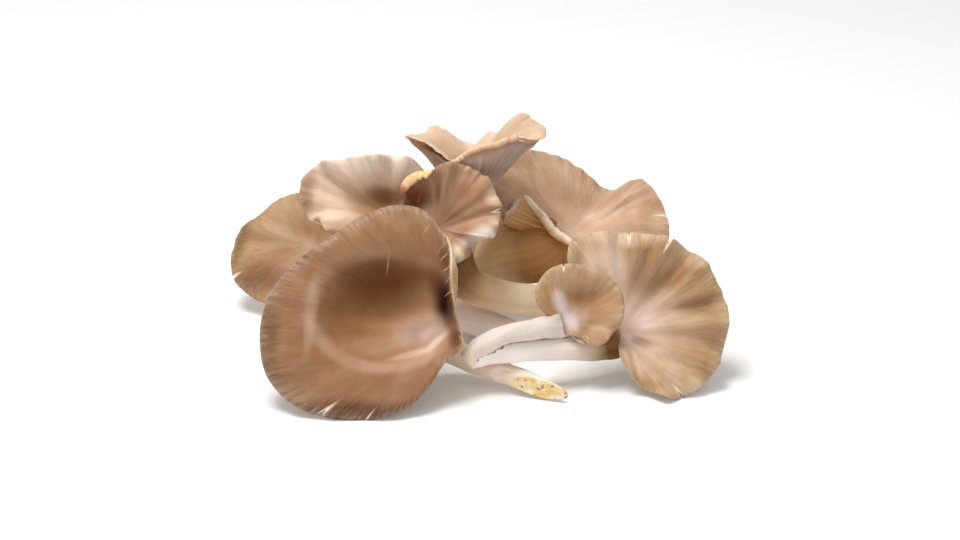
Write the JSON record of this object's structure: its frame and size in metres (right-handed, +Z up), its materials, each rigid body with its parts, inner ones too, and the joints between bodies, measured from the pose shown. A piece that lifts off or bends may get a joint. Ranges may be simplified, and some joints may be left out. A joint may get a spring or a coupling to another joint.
{
  "type": "oyster mushroom cluster",
  "caption": "Heap of picked oyster mushrooms lying on a surface: wavy fan and funnel caps with gills running down bent, cut stems.",
  "frame": {"origin": "on the surface that the heap lies on, under the middle of its bounding box", "axes": "+X to the right of the heap seen from its front, along its longest extent; +Y to its back; +Z up"},
  "size_m": [0.2268, 0.1381, 0.1012],
  "materials": {
    "dark_cap_flesh": "matt, finely streaked mushroom skin, warm brown",
    "tan_cap_flesh": "matt, finely streaked mushroom skin, tan",
    "beige_cap_flesh": "matt, finely streaked mushroom skin, beige",
    "grey_cap_flesh": "matt, finely streaked mushroom skin, grey-brown",
    "pale_cap_flesh": "matt mushroom skin, pinkish beige",
    "pink_cap_flesh": "matt, finely streaked mushroom skin, pinkish brown",
    "light_cap_flesh": "matt, finely streaked mushroom skin, light brown"
  },
  "bodies": {
    "root": {"large_front_mushroom": "dark_cap_flesh", "left_back_mushroom": "tan_cap_flesh", "upper_left_mushroom": "beige_cap_flesh", "upper_middle_mushroom": "grey_cap_flesh", "top_small_mushroom": "pale_cap_flesh", "back_right_mushroom": "pink_cap_flesh", "right_twin_mushrooms": "light_cap_flesh"}
  },
  "joints": []
}
